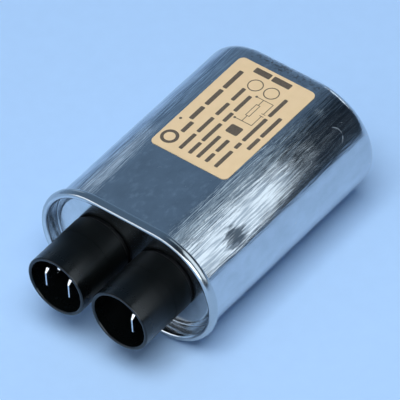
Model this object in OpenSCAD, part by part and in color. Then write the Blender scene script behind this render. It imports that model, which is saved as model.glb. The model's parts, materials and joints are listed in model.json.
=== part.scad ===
// High voltage capacitor in a seamed oval can, lying on its broad side.
// Every piece is drawn standing on the can's closed end, with the terminals up the local Z
// axis, and lay_down() then turns it on its side: X runs across the can, the terminals point
// to -Y, and Z = 0 is the lowest line of the seamed rim.

/* [Can] */
// Width of the drawn can, across its two round sides
can_w = 51.8; // [49:0.2:60]
// Thickness of the drawn can, across its two flat sides
can_h = 33; // [30:0.2:36]
// Length from the closed end to the top of the seamed rim
can_len = 68; // [60:0.5:95]
// Thickness of the can's sheet
can_t = 0.4; // [0.3:0.05:0.5]
// Outer radius of the edge round the closed end
can_edge_r = 3.5; // [2.5:0.1:4.5]

/* [Seamed rim and lid] */
// Thickness of the lid's sheet
lid_t = 0.4; // [0.3:0.05:0.5]
// Length of the rolled seam along the can
seam_len = 2.5; // [2.3:0.1:3.2]
// Height of the sealing compound packed above the lid's hook
seal_h = 0.3; // [0.1:0.05:0.4]
// Depth of the lid's flat panel below the top of the rim
panel_drop = 3.2; // [3:0.1:4]
// Depth of the groove between the panel and the rim, below the panel
groove_drop = 1.1; // [1.1:0.1:1.5]
// Width of the flat bottom of that groove
groove_w = 0.8; // [0.4:0.1:1.5]
// Inside radius of the lid's bends
lid_bend_r = 0.3; // [0.15:0.05:0.3]

/* [Terminal cups] */
// Distance between the centres of the two terminals
terminal_gap = 19.8; // [18.6:0.1:22]
// Outside diameter of a terminal cup
cup_d = 17.3; // [15:0.1:18]
// Wall of a terminal cup
cup_wall = 1; // [0.9:0.05:1.6]
// Thickness of a terminal cup's floor
cup_floor = 2.2; // [1.5:0.1:3]
// Distance that a cup's mouth stands above the rim
cup_reach = 15.1; // [14.5:0.1:20]
// Rounding of the cup's lip, inside and outside
lip_r = 0.4; // [0.2:0.05:0.4]
// Rounding inside the cup, where its wall meets its floor
floor_fillet = 1; // [0.5:0.1:2]
// Height of the slightly wider skirt at a cup's foot
skirt_h = 6.2; // [4:0.1:9]
// Step of that skirt beyond the cup's wall
skirt_step = 0.08; // [0.04:0.02:0.2]
// Chamfer round the underside of a cup
foot_chamfer = 0.3; // [0.1:0.1:0.6]
// Diameter of the neck that passes through the lid
neck_d = 8.4; // [6:0.1:10]

/* [Gaskets and washers] */
// Thickness of the rubber gasket between a cup and the lid
gasket_t = 0.6; // [0.4:0.1:1.2]
// Distance of the gasket's edge inside the cup's edge
gasket_inset = 0.8; // [0.4:0.1:1.5]
// Outside diameter of the insulating washer under the lid
washer_d = 13; // [11:0.5:15]
// Thickness of that washer
washer_t = 1.2; // [0.8:0.1:2]

/* [Terminals] */
// Width of a push-on tab
tab_w = 6.35; // [4.8:0.05:7]
// Thickness of a push-on tab
tab_t = 0.8; // [0.5:0.1:1]
// Distance of the tab tips below the mouth of their cup
tab_sink = 0.8; // [0:0.1:4]
// Distance from the terminal's centre to the middle of a tab's thickness
tab_offset = 3.55; // [3.45:0.05:4.2]
// Length of the chamfers at a tab's tip
tip_l = 1; // [0.5:0.1:1.5]
// Width that each of those chamfers takes off the tip
tip_w = 1.1; // [0.5:0.1:1.5]
// Length of the lead-ins that thin a tab's tip on both faces
lead_in_l = 0.8; // [0.4:0.1:1.2]
// Thickness left at a tab's tip
tip_t = 0.4; // [0.25:0.05:0.45]
// Diameter of the latch hole in a tab
latch_d = 1.8; // [1.4:0.1:2]
// Distance from a tab's tip to the middle of its latch hole
latch_from_tip = 4.1; // [3.5:0.1:5]
// Inside radius of the bend at the foot of a tab
tab_bend_r = 0.4; // [0.2:0.1:0.4]
// Reach of the single tab's foot past the rivet, on its free side
foot_reach = 3.4; // [3:0.1:4.5]

/* [Rivets and lugs] */
// Diameter of a rivet's shank
rivet_d = 3; // [2.4:0.1:3.4]
// Diameter of a rivet's head, inside the cup
rivet_head_d = 5.2; // [4.4:0.1:5.2]
// Height of that head
rivet_head_h = 1; // [0.6:0.1:1.4]
// Diameter of the clenched end, under the lid
clench_d = 4.6; // [4:0.1:5]
// Height of the clenched end
clench_h = 0.8; // [0.5:0.1:1.2]
// Width of a solder lug
lug_w = 5.6; // [4:0.1:7]
// Thickness of a solder lug
lug_t = 0.5; // [0.4:0.05:0.8]
// Length of a lug's tail, measured down from its plate
lug_tail = 4.6; // [4.2:0.1:6]
// Distance from the end of a tail to the middle of its wire hole
lug_hole_up = 1.5; // [1.2:0.1:1.8]
// Inside radius of a lug's bend
lug_bend_r = 0.3; // [0.2:0.05:0.4]

/* [Winding] */
// Room above the winding, up to the underside of the lid's panel
head_room = 12.4; // [11.5:0.1:16]
// Width of the slit that the winding mandrel leaves
slit_w = 19; // [10:0.5:22]
// Thickness of that slit
slit_t = 0.8; // [0.5:0.1:1.2]
// Number of foil ridges shown on each end of the winding
ridge_count = 5; // [2:1:7]
// Height of a foil ridge
ridge_h = 0.5; // [0.3:0.1:0.8]
// Width of the hollow between two foil ridges
ridge_gap = 0.7; // [0.4:0.1:1]

/* [Leads and solder] */
// Width of a lead strip
lead_w = 4; // [3:0.1:4.4]
// Thickness of a lead strip
lead_t = 0.3; // [0.2:0.05:0.4]
// Distance from the centre line to the riser of the short lead
riser_y = 8; // [6:0.1:11]
// Inside radius of a lead's free bends
lead_bend_r = 0.5; // [0.3:0.1:0.8]
// Length of a lead's foot on the end of the winding
lead_foot = 6; // [4:0.5:7]
// Length of a lead past the middle of its rivet
lead_end = 2.6; // [2.4:0.1:4]
// Length of the solder bar across a winding end
solder_l = 24; // [20:0.5:25]
// Width of that bar
solder_w = 6; // [4:0.5:8]
// Thickness of that bar
solder_t = 1.2; // [0.8:0.1:1.6]

/* [Wrap and boards] */
// Thickness of the insulating wrap round the winding
wrap_t = 0.5; // [0.3:0.05:0.8]
// Length of wrap that stands past the top of the winding
wrap_over = 2; // [1.8:0.1:3]
// Thickness of the board on the can's floor
base_board_t = 2; // [1.6:0.1:2.8]
// Thickness of the board above the winding
top_board_t = 1; // [0.8:0.1:1.6]

/* [Discharge resistor] */
// Diameter of the resistor's body
resistor_d = 4; // [3:0.1:4.4]
// Length of the resistor's body
resistor_l = 9; // [7:0.1:9.6]
// Diameter of the resistor's wires
wire_d = 0.8; // [0.6:0.05:0.9]
// Length of wire that stands out past the lug's tail
wire_out = 1.2; // [0.6:0.1:2]
// Thickness of the sleeve over the resistor
sleeve_t = 0.3; // [0.2:0.05:0.4]
// Length of sleeve past each end of the resistor's body
sleeve_over = 0.6; // [0.2:0.1:0.9]

/* [Label] */
// Width of the label, across the can
label_w = 23.8; // [18:0.2:28]
// Length of the label, along the can
label_l = 37; // [25:0.5:40]
// Distance from the top of the rim to the label
label_from_rim = 25.3; // [15:0.1:30]
// Thickness of the label
label_t = 0.12; // [0.1:0.01:0.2]
// Radius of the label's corners
label_r = 1.6; // [0.5:0.1:3]

/* [Fits] */
// Clearance round a rivet's shank
rivet_fit = 0.05; // [0.03:0.01:0.1]
// Clearance round a cup's neck, in the lid and in the gasket
neck_fit = 0.2; // [0.1:0.05:0.3]
// Clearance of the wrap inside the can
wrap_fit = 0.5; // [0.3:0.05:0.6]
// Clearance of the winding inside its wrap, where the long lead runs
winding_fit = 0.9; // [0.8:0.05:0.9]
// Clearance between the base board's edge and the can
board_fit = 0.3; // [0.2:0.05:0.4]
// Clearance of a lead in the slots of the top board
slot_fit = 0.3; // [0.2:0.05:0.5]
// Clearance between a lug's tail and the lead riveted under the lug
tail_fit = 0.5; // [0.4:0.05:0.8]
// Clearance of a resistor wire in its lug, and of the sleeve over the resistor
wire_fit = 0.05; // [0.03:0.01:0.1]

/* [Hidden] */
$fn = 96;

// How far a cut runs past the piece that it cuts
over = 1;

// Oval outline: two half circles joined by a flat stretch that every oval piece shares
flat_w = can_w - can_h;
wall_r = can_h / 2;
inner_r = wall_r - can_t;

// Rolled seam: three thicknesses of sheet stand outside the can's wall
hook_r = lid_t / 2;
top_bend_r = hook_r + can_t;
seam_out = 2 * lid_t + can_t;
seam_top_z = can_len - lid_t - top_bend_r;
seam_bottom_z = can_len - seam_len + can_t / 2 + lid_t;
hook_l = seam_top_z - seam_bottom_z;

// Levels up the standing can
panel_z = can_len - panel_drop;
under_lid_z = panel_z - lid_t;
cup_z = panel_z + gasket_t;
mouth_z = can_len + cup_reach;
cup_h = mouth_z - cup_z;
cup_floor_z = cup_z + cup_floor;
tip_z = mouth_z - tab_sink;
washer_z = under_lid_z - washer_t;
lug_z = washer_z - lug_t;
lead_z = lug_z - lead_t;
board_z = can_t + base_board_t;
winding_z = board_z + solder_t;
winding_top_z = under_lid_z - head_room;
winding_l = winding_top_z - winding_z;
wrap_top_z = winding_top_z + wrap_over;
wire_z = lug_z + lug_t - lug_tail + lug_hole_up;

// Sizes that follow from the fits
cup_r = cup_d / 2;
rivet_hole_d = rivet_d + 2 * rivet_fit;
wrap_r = inner_r - wrap_fit;
winding_r = wrap_r - wrap_t - winding_fit;
rivet_x = terminal_gap / 2;
tail_reach = max(lead_w, clench_d) / 2 + tail_fit;

// Overall sizes, which put the origin under the middle of the lying can
total_l = can_len + cup_reach;
rim_h = can_h + 2 * seam_out;

// Turns a standing piece on its broad side
module lay_down() {
  translate([0, total_l / 2, rim_h / 2]) rotate([90, 0, 0]) children();
}

// Puts a piece on the left (-1) or right (1) terminal's axis, mirrored on the left
module at_terminal(side) {
  translate([side * rivet_x, 0, 0]) mirror([side < 0 ? 1 : 0, 0, 0]) children();
}

// Solid oval outline of end radius r
module oval(r) {
  square([flat_w, 2 * r], center = true);
  for (side = [-1, 1]) translate([side * flat_w / 2, 0]) circle(r);
}

// Sweeps a wall section round the oval: local X is the distance from the end's centre
module round_oval() {
  for (turn = [-90, 90])
    rotate(turn) translate([0, flat_w / 2, 0]) rotate_extrude(angle = 180) children();
  for (turn = [0, 180])
    rotate(turn) translate([-flat_w / 2, 0, 0]) rotate([90, 0, 90]) linear_extrude(flat_w) children();
}

// Quarter or half plane that bounds a bend of 90 or 180 degrees, left (+) or right (-)
module bend_side(turn, reach) {
  down = abs(turn) == 90 && turn < 0 ? 0 : reach;
  up = abs(turn) == 90 && turn > 0 ? 0 : reach;
  translate([0, -down]) square([reach, down + up]);
}

// Section of a folded sheet. Each step is [straight run, turn after it, inside bend radius];
// the sheet lies to the left of its path, and turns are 0, 90 or 180 degrees either way.
module folded_sheet(steps, thick, i = 0) {
  if (i < len(steps)) {
    run = steps[i][0];
    turn = steps[i][1];
    bend_r = steps[i][2];
    centre_y = turn > 0 ? thick + bend_r : -bend_r;
    if (run > 0) square([run, thick]);
    translate([run, turn == 0 ? 0 : centre_y]) {
      if (turn != 0) intersection() {
        difference() {
          circle(bend_r + thick);
          if (bend_r > 0) circle(bend_r);
        }
        bend_side(turn, 2 * (bend_r + thick));
      }
      rotate(turn) translate([0, turn == 0 ? 0 : -centre_y]) folded_sheet(steps, thick, i + 1);
    }
  }
}

// What a rounding of radius r takes off an outer corner, with the arc's centre at the origin
module corner_waste(r) {
  difference() {
    square(2 * r);
    circle(r);
  }
}

// Drilled round hole through everything on the terminal's axis
module rivet_hole() {
  cylinder(d = rivet_hole_d, h = mouth_z);
}

// Hole for a cup's neck, cut through a sheet of the given thickness from its underside
module neck_hole(thick) {
  cylinder(d = neck_d + 2 * neck_fit, h = thick + 2 * over);
}

// Deep drawn can: floor, rounded edge, wall, and the hook rolled down outside the seam
module can() {
  color("silver") lay_down() {
    linear_extrude(can_t) oval(wall_r - can_edge_r);
    round_oval() translate([wall_r - can_edge_r, 0]) folded_sheet([
      [0, 90, can_edge_r - can_t],
      [seam_top_z - can_edge_r, -180, hook_r],
      [hook_l, 0, 0],
    ], can_t);
  }
}

// Pressed lid: panel, groove, wall up inside the can, and the hook curled under the can's
module can_lid() {
  bend_run = lid_t + lid_bend_r;
  color("gainsboro") lay_down() difference() {
    round_oval() translate([0, under_lid_z]) folded_sheet([
      [inner_r - groove_w - 2 * bend_run - lid_bend_r, -90, lid_bend_r],
      [groove_drop - bend_run - lid_bend_r, 90, lid_bend_r],
      [groove_w, 90, lid_bend_r],
      [seam_top_z - under_lid_z + groove_drop - bend_run, -180, top_bend_r],
      [hook_l, -180, can_t / 2],
      [hook_l - seal_h, 0, 0],
    ], lid_t);
    for (side = [-1, 1]) at_terminal(side)
      translate([0, 0, under_lid_z - over]) neck_hole(lid_t);
  }
}

// Sealing compound squeezed into the top of the can's hook
module seam_seal() {
  color("darkslategray") lay_down() round_oval() {
    translate([wall_r, seam_top_z - seal_h]) square([lid_t, seal_h]);
    intersection() {
      translate([wall_r + hook_r, seam_top_z]) circle(hook_r);
      translate([wall_r, seam_top_z]) square([lid_t, lid_t]);
    }
  }
}

// Foil label on one broad side, following the can where its flat runs out
module label() {
  middle_z = can_len - label_from_rim - label_l / 2;
  color("tan") lay_down() intersection() {
    translate([0, 0, middle_z - label_l]) linear_extrude(2 * label_l) difference() {
      oval(wall_r + label_t);
      oval(wall_r);
    }
    translate([0, 0, middle_z]) rotate([-90, 0, 0]) linear_extrude(can_h) label_outline();
  }
}

// Label's flat outline with rounded corners
module label_outline() {
  square([label_w - 2 * label_r, label_l], center = true);
  square([label_w, label_l - 2 * label_r], center = true);
  for (x = [-1, 1], y = [-1, 1])
    translate([x * (label_w / 2 - label_r), y * (label_l / 2 - label_r)]) circle(label_r);
}

// Moulded insulating cup round a terminal, with its neck through the lid
module terminal_cup() {
  neck_l = cup_z - under_lid_z;
  hollow_r = cup_r - cup_wall;
  foot_r = cup_r + skirt_step;
  difference() {
    translate([0, 0, cup_z]) rotate_extrude() difference() {
      union() {
        square([cup_r, cup_h]);
        square([foot_r, skirt_h]);
        translate([0, -neck_l]) square([neck_d / 2, neck_l]);
      }
      translate([0, cup_floor]) difference() {
        square([hollow_r, cup_h]);
        translate([hollow_r - floor_fillet, floor_fillet]) mirror([0, 1]) corner_waste(floor_fillet);
      }
      translate([cup_r - lip_r, cup_h - lip_r]) corner_waste(lip_r);
      translate([hollow_r + lip_r, cup_h - lip_r]) mirror([1, 0]) corner_waste(lip_r);
      polygon([[foot_r - foot_chamfer, 0], [foot_r + over, 0], [foot_r + over, foot_chamfer + over]]);
    }
    rivet_hole();
  }
}

module left_cup() {
  color("black") lay_down() at_terminal(-1) terminal_cup();
}

module right_cup() {
  color("black") lay_down() at_terminal(1) terminal_cup();
}

// Rubber gasket squeezed between a cup and the lid
module gasket() {
  translate([0, 0, panel_z]) difference() {
    cylinder(r = cup_r - gasket_inset, h = gasket_t);
    translate([0, 0, -over]) neck_hole(gasket_t);
  }
}

module left_gasket() {
  color("dimgray") lay_down() at_terminal(-1) gasket();
}

module right_gasket() {
  color("dimgray") lay_down() at_terminal(1) gasket();
}

// What the lead-ins take off both faces of the tabs, in the folded strip's section
module lead_in_waste() {
  for (tab = [-1, 1], face = [0, 1]) translate([tab * tab_offset, tip_z]) mirror([face, 0]) polygon([
    [tip_t / 2, 0],
    [tab_t / 2, -lead_in_l],
    [tab_t, -lead_in_l],
    [tab_t, over],
    [tip_t / 2, over],
  ]);
}

// Push-on terminal folded from strip and cut to the tab's outline
module tab_terminal(start, turned, steps) {
  tip_half = tab_w / 2 - tip_w;
  shoulder_z = tip_z - tip_l;
  difference() {
    intersection() {
      rotate([90, 0, 0]) linear_extrude(tab_w + 2 * over, center = true) difference() {
        translate(start) rotate(turned) folded_sheet(steps, tab_t);
        lead_in_waste();
      }
      rotate([90, 0, 90]) linear_extrude(2 * cup_d, center = true) polygon([
        [-tab_w / 2, cup_floor_z - over],
        [tab_w / 2, cup_floor_z - over],
        [tab_w / 2, shoulder_z],
        [tip_half, tip_z],
        [-tip_half, tip_z],
        [-tab_w / 2, shoulder_z],
      ]);
    }
    translate([0, 0, tip_z - latch_from_tip]) rotate([0, 90, 0])
      cylinder(d = latch_d, h = cup_d, center = true);
    rivet_hole();
  }
}

// Left terminal: two tabs and the foot between them, folded from one strip
module twin_tab_terminal() {
  bend_run = tab_t + tab_bend_r;
  leg_l = tip_z - cup_floor_z - bend_run;
  half_w = tab_offset + tab_t / 2;
  color("lightsteelblue") lay_down() at_terminal(-1)
    tab_terminal([-half_w, tip_z], -90, [
      [leg_l, 90, tab_bend_r],
      [2 * (half_w - bend_run), 90, tab_bend_r],
      [leg_l, 0, 0],
    ]);
}

// Right terminal: one tab on a foot that reaches past the rivet
module single_tab_terminal() {
  bend_run = tab_t + tab_bend_r;
  half_w = tab_offset + tab_t / 2;
  color("lightsteelblue") lay_down() at_terminal(1)
    tab_terminal([-foot_reach, cup_floor_z], 0, [
      [foot_reach + half_w - bend_run, 90, tab_bend_r],
      [tip_z - cup_floor_z - bend_run, 0, 0],
    ]);
}

// Rivet that clamps terminal, cup, lid, washer, lug and lead together
module rivet() {
  head_z = cup_floor_z + tab_t;
  head_round = rivet_head_h / 2;
  rotate_extrude() {
    translate([0, head_z]) difference() {
      square([rivet_head_d / 2, rivet_head_h]);
      translate([rivet_head_d / 2 - head_round, rivet_head_h - head_round]) corner_waste(head_round);
    }
    translate([0, lead_z]) square([rivet_d / 2, head_z - lead_z]);
    translate([0, lead_z - clench_h]) square([clench_d / 2, clench_h]);
  }
}

module left_rivet() {
  color("silver") lay_down() at_terminal(-1) rivet();
}

module right_rivet() {
  color("silver") lay_down() at_terminal(1) rivet();
}

// Insulating washer under the lid
module washer() {
  difference() {
    translate([0, 0, washer_z]) cylinder(d = washer_d, h = washer_t);
    rivet_hole();
  }
}

module left_washer() {
  color("saddlebrown") lay_down() at_terminal(-1) washer();
}

module right_washer() {
  color("saddlebrown") lay_down() at_terminal(1) washer();
}

// Solder lug: a plate under the washer and a tail bent down towards the middle
module lug() {
  tail_end_z = lug_z + lug_t - lug_tail;
  difference() {
    rotate([90, 0, 0]) linear_extrude(lug_w, center = true)
      translate([-tail_reach, tail_end_z]) rotate(90) folded_sheet([
        [lug_tail - lug_t - lug_bend_r, -90, lug_bend_r],
        [tail_reach - lug_bend_r + lug_w / 2, 0, 0],
      ], lug_t);
    rivet_hole();
    translate([-tail_reach, 0, wire_z]) rotate([0, 90, 0])
      cylinder(d = wire_d + 2 * wire_fit, h = 4 * lug_t, center = true);
  }
}

module left_lug() {
  color("goldenrod") lay_down() at_terminal(-1) lug();
}

module right_lug() {
  color("goldenrod") lay_down() at_terminal(1) lug();
}

// Lead strip folded in a plane along the can's thickness, riveted at its last run
module lead_strip(start, steps) {
  difference() {
    rotate([90, 0, 90]) linear_extrude(lead_w, center = true)
      translate(start) folded_sheet(steps, lead_t);
    rivet_hole();
  }
}

// Left lead: from the winding's near end, up through the top board, to the left rivet
module short_lead_shape() {
  bend_run = lead_t + lead_bend_r;
  at_terminal(-1) lead_strip([riser_y - lead_foot, winding_top_z], [
    [lead_foot - lead_bend_r, 90, lead_bend_r],
    [lug_z - winding_top_z - 2 * bend_run, 90, lead_bend_r],
    [riser_y - lead_bend_r + lead_end, 0, 0],
  ]);
}

// Right lead: folded tight round the winding's far end, up its flat side, to the right rivet
module long_lead_shape() {
  at_terminal(1) lead_strip([winding_r - lead_foot, winding_z - lead_t], [
    [lead_foot, 90, 0],
    [lug_z - winding_z - lead_t - lead_bend_r, 90, lead_bend_r],
    [winding_r - lead_bend_r + lead_end, 0, 0],
  ]);
}

module short_lead() {
  color("lightgray") lay_down() short_lead_shape();
}

module long_lead() {
  color("lightgray") lay_down() long_lead_shape();
}

// Bar of solder across the foil edges, from level z up
module solder_bar(side, z) {
  at_terminal(side) translate([0, 0, z]) linear_extrude(solder_t) {
    square([solder_w, solder_l - solder_w], center = true);
    for (y = [-1, 1]) translate([0, y * (solder_l - solder_w) / 2]) circle(d = solder_w);
  }
}

module near_end_solder() {
  color("darkgray") lay_down() difference() {
    solder_bar(-1, winding_top_z);
    short_lead_shape();
  }
}

module far_end_solder() {
  color("darkgray") lay_down() difference() {
    solder_bar(1, winding_z - solder_t);
    long_lead_shape();
  }
}

// Foil and film winding, pressed oval, with the foil edges standing proud at both ends
module winding() {
  pitch = winding_r / (ridge_count + 1);
  color("whitesmoke") lay_down() difference() {
    translate([0, 0, winding_z]) linear_extrude(winding_l) difference() {
      oval(winding_r);
      square([slit_w, slit_t], center = true);
    }
    for (i = [1 : ridge_count], end_z = [winding_z - over, winding_top_z - ridge_h])
      translate([0, 0, end_z]) linear_extrude(ridge_h + over) difference() {
        oval(i * pitch + ridge_gap / 2);
        oval(i * pitch - ridge_gap / 2);
      }
  }
}

// Insulating wrap, standing on the base board and past the winding's top
module winding_wrap() {
  wrap_l = wrap_top_z - board_z;
  color("burlywood") lay_down() translate([0, 0, board_z]) linear_extrude(wrap_l) difference() {
    oval(wrap_r);
    oval(wrap_r - wrap_t);
  }
}

// Insulating board on the can's floor, rounded to suit the can's edge
module base_board() {
  board_r = inner_r - board_fit;
  edge_r = can_edge_r - can_t - board_fit;
  color("tan") lay_down() round_oval() translate([0, can_t]) difference() {
    square([board_r, base_board_t]);
    translate([board_r - edge_r, edge_r]) mirror([0, 1]) corner_waste(edge_r);
  }
}

// Insulating board on the wrap's top edge, slotted for both leads
module top_board() {
  slot_w = lead_w + 2 * slot_fit;
  slot_y = riser_y + lead_t / 2;
  color("tan") lay_down() translate([0, 0, wrap_top_z]) linear_extrude(top_board_t) difference() {
    oval(wrap_r);
    translate([-rivet_x, slot_y]) square([slot_w, lead_t + 2 * slot_fit], center = true);
    translate([rivet_x - slot_w / 2, winding_r - slot_fit]) square([slot_w, can_h]);
  }
}

// Discharge resistor's body, across the middle between the two lugs
module discharge_resistor() {
  color("peru") lay_down() translate([0, 0, wire_z]) rotate([0, 90, 0])
    cylinder(d = resistor_d, h = resistor_l, center = true);
}

// Resistor wire from the body's end through the lug's tail
module resistor_wire(side) {
  wire_l = rivet_x - tail_reach + wire_out - resistor_l / 2;
  color("lightgray") lay_down() mirror([side < 0 ? 1 : 0, 0, 0])
    translate([resistor_l / 2, 0, wire_z]) rotate([0, 90, 0]) cylinder(d = wire_d, h = wire_l);
}

module left_resistor_wire() {
  resistor_wire(-1);
}

module right_resistor_wire() {
  resistor_wire(1);
}

// Insulating sleeve over the resistor
module resistor_sleeve() {
  sleeve_l = resistor_l + 2 * sleeve_over;
  color("seagreen") lay_down() translate([0, 0, wire_z]) rotate([0, 90, 0]) difference() {
    cylinder(d = resistor_d + 2 * (wire_fit + sleeve_t), h = sleeve_l, center = true);
    cylinder(d = resistor_d + 2 * wire_fit, h = sleeve_l + 2 * over, center = true);
  }
}

can();
can_lid();
seam_seal();
label();
left_cup();
right_cup();
left_gasket();
right_gasket();
twin_tab_terminal();
single_tab_terminal();
left_rivet();
right_rivet();
left_washer();
right_washer();
left_lug();
right_lug();
short_lead();
long_lead();
near_end_solder();
far_end_solder();
winding();
winding_wrap();
base_board();
top_board();
discharge_resistor();
left_resistor_wire();
right_resistor_wire();
resistor_sleeve();
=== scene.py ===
"""Looks of the high voltage capacitor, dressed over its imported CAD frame.

Everything is in metres in the part's own frame: X runs across the can, the cups point to -Y,
and Z = 0 is the lowest line of the seamed rim.
"""

import json
import math

import bmesh
import bpy
from mathutils import Matrix, Vector
from mathutils.geometry import delaunay_2d_cdt

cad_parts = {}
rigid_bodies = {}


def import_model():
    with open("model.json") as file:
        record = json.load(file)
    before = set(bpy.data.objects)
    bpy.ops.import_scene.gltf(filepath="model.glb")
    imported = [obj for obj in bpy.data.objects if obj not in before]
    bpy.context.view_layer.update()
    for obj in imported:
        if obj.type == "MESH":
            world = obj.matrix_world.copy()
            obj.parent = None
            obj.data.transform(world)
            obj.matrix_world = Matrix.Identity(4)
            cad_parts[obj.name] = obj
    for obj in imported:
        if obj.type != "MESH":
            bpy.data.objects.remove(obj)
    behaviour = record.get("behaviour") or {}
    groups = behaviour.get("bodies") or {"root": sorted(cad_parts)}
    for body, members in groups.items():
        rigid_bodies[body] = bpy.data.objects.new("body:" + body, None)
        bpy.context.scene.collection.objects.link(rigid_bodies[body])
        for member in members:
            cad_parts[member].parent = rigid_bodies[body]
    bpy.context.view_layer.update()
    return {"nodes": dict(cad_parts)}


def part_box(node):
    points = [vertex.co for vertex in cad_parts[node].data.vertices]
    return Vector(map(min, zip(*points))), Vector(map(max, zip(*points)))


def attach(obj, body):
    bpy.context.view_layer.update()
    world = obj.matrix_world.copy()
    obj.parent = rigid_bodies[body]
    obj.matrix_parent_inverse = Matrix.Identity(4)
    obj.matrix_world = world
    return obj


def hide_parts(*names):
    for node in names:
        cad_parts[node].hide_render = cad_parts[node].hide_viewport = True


# An empty scene to start with
for leftover in list(bpy.data.objects):
    bpy.data.objects.remove(leftover)
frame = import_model()
NODES = frame["nodes"]
MM = 0.001

# The boxes that the other places are worked out from
CAN_LOW, CAN_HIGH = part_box("can")
LID_LOW, LID_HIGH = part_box("can_lid")
LABEL_LOW, LABEL_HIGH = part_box("label")
CUP_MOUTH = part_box("left_cup")[0].y
AXIS_Z = (LID_LOW.z + LID_HIGH.z) / 2


def on_can(right, ahead, up):
    """Place that many mm to the right of, ahead of and above the middle of the can's closed end."""
    return Vector((right * MM, CAN_HIGH.y - ahead * MM, AXIS_Z + up * MM))


# Settings that many nodes share
TIMES = {"operation": "MULTIPLY"}
TIMES_PLUS = {"operation": "MULTIPLY_ADD"}
PLUS = {"operation": "ADD"}
LESS = {"operation": "SUBTRACT"}
UNSIGNED = {"operation": "ABSOLUTE"}
COLOURS = {"data_type": "RGBA"}


def linear(hex_colour):
    """Linear colour of an sRGB hex value."""
    shares = [int(hex_colour[i : i + 2], 16) / 255 for i in (1, 3, 5)]
    return [s / 12.92 if s <= 0.04045 else ((s + 0.055) / 1.055) ** 2.4 for s in shares] + [1.0]


def add(tree, kind, settings=None, inputs=None):
    """Adds a node with its settings and links, and returns its first output. The inputs go by name, or
    by order when they come as a list."""
    node = tree.nodes.new(kind)
    for name, value in (settings or {}).items():
        setattr(node, name, value)
    shown = [s for s in node.inputs if s.enabled]
    given = enumerate(inputs) if isinstance(inputs, list) else (inputs or {}).items()
    for name, value in given:
        socket = shown[name] if isinstance(name, int) else next(s for s in shown if s.name == name)
        if isinstance(value, bpy.types.NodeSocket):
            tree.links.new(value, socket)
        else:
            socket.default_value = value
    return next((s for s in node.outputs if s.enabled), None)


# ---- Patterns ----


def span(share, first, last, low=0.3, high=0.7):
    """Inputs of a map range that goes from first to last as share goes from low to high. Noise stays
    mostly between the usual low and high."""
    return {"Value": share, "From Min": low, "From Max": high, "To Min": first, "To Max": last}


def grain(tree, size, drawn=(1, 1, 1), detail=2.0):
    """Noise with blotches of that size in mm, drawn out by those factors along X, Y and Z."""
    place = add(tree, "ShaderNodeTexCoord").node.outputs["Object"]
    scale = [1 / (size * MM * d) for d in drawn]
    spot = add(tree, "ShaderNodeMapping", None, {"Vector": place, "Scale": scale})
    return add(tree, "ShaderNodeTexNoise", None, {"Vector": spot, "Scale": 1.0, "Detail": detail})


def spots(tree, low, high, size, drawn=(1, 1, 1), detail=2.0, first=0.0, last=1.0):
    """Mask of spots of that size in mm. The higher low and high are, the fewer spots there are."""
    noise = grain(tree, size, drawn, detail)
    return add(tree, "ShaderNodeMapRange", None, span(noise, first, last, low, high))


def fade(tree, axis, ends, first=0.0, last=1.0):
    """Number that goes from first to last between two places on an axis of the part."""
    place = add(tree, "ShaderNodeTexCoord").node.outputs["Object"]
    along = add(tree, "ShaderNodeSeparateXYZ", None, {"Vector": place}).node.outputs[axis]
    return add(tree, "ShaderNodeMapRange", None, span(along, first, last, *ends))


def overlap(tree, *masks):
    """Product of the masks: 1 only where each of them is 1."""
    whole = masks[0]
    for mask in masks[1:]:
        whole = add(tree, "ShaderNodeMath", TIMES, [whole, mask])
    return whole


PATCH_TEAR = 3.0  # how far the noise moves a patch's edge, as a multiple of the patch's reach
PATCH_EDGE = (2.1, 2.9)  # where a patch starts and ends to fade, with the noise's mean of 1.5 in it


def ragged_patch(tree, middle, reach, grain_size, drawn=(1, 1, 1)):
    """Mask of an oval patch round a middle, with a ragged edge. Its reach on each axis and the size of
    the noise that tears its edge are in mm."""
    place = add(tree, "ShaderNodeTexCoord").node.outputs["Object"]
    centred = {
        "Vector": place,
        "Location": [-c / (r * MM) for c, r in zip(middle, reach)],
        "Scale": [1 / (r * MM) for r in reach],
    }
    spot = add(tree, "ShaderNodeMapping", None, centred)
    away = add(tree, "ShaderNodeVectorMath", {"operation": "LENGTH"}, [spot]).node.outputs["Value"]
    torn = add(tree, "ShaderNodeMath", TIMES_PLUS, [grain(tree, grain_size, drawn), PATCH_TEAR, away])
    return add(tree, "ShaderNodeMapRange", None, span(torn, 1.0, 0.0, *PATCH_EDGE))


def shades(tree, share, dark, light):
    """Colour that goes from a dark to a light hex shade as share goes up."""
    part = add(tree, "ShaderNodeMapRange", None, span(share, 0.0, 1.0))
    return add(tree, "ShaderNodeMix", COLOURS, {"Factor": part, "A": linear(dark), "B": linear(light)})


# ---- Materials ----


def new_material(name):
    """An empty node material and its tree."""
    made = bpy.data.materials.new(name)
    made.use_nodes = True
    made.node_tree.nodes.clear()
    return made, made.node_tree


def surfaced(made, inputs):
    """The same material, ended with one shader that has those inputs."""
    shader = add(made.node_tree, "ShaderNodeBsdfPrincipled", None, inputs)
    add(made.node_tree, "ShaderNodeOutputMaterial", None, {"Surface": shader})
    return made


def finish(name, dark, light, rough, size, drawn=(1, 1, 1), bump=0.0, **constants):
    """Material with two shades, a range of roughness and a grain of one size in mm, bump mm high."""
    made, tree = new_material(name)
    share = grain(tree, size, drawn)
    inputs = {
        "Base Color": shades(tree, share, dark, light),
        "Roughness": add(tree, "ShaderNodeMapRange", None, span(share, *rough)),
    }
    if bump:
        height = {"Height": share, "Distance": bump * MM, "Strength": 1.0}
        inputs["Normal"] = add(tree, "ShaderNodeBump", None, height)
    return surfaced(made, {**inputs, **constants})


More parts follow.
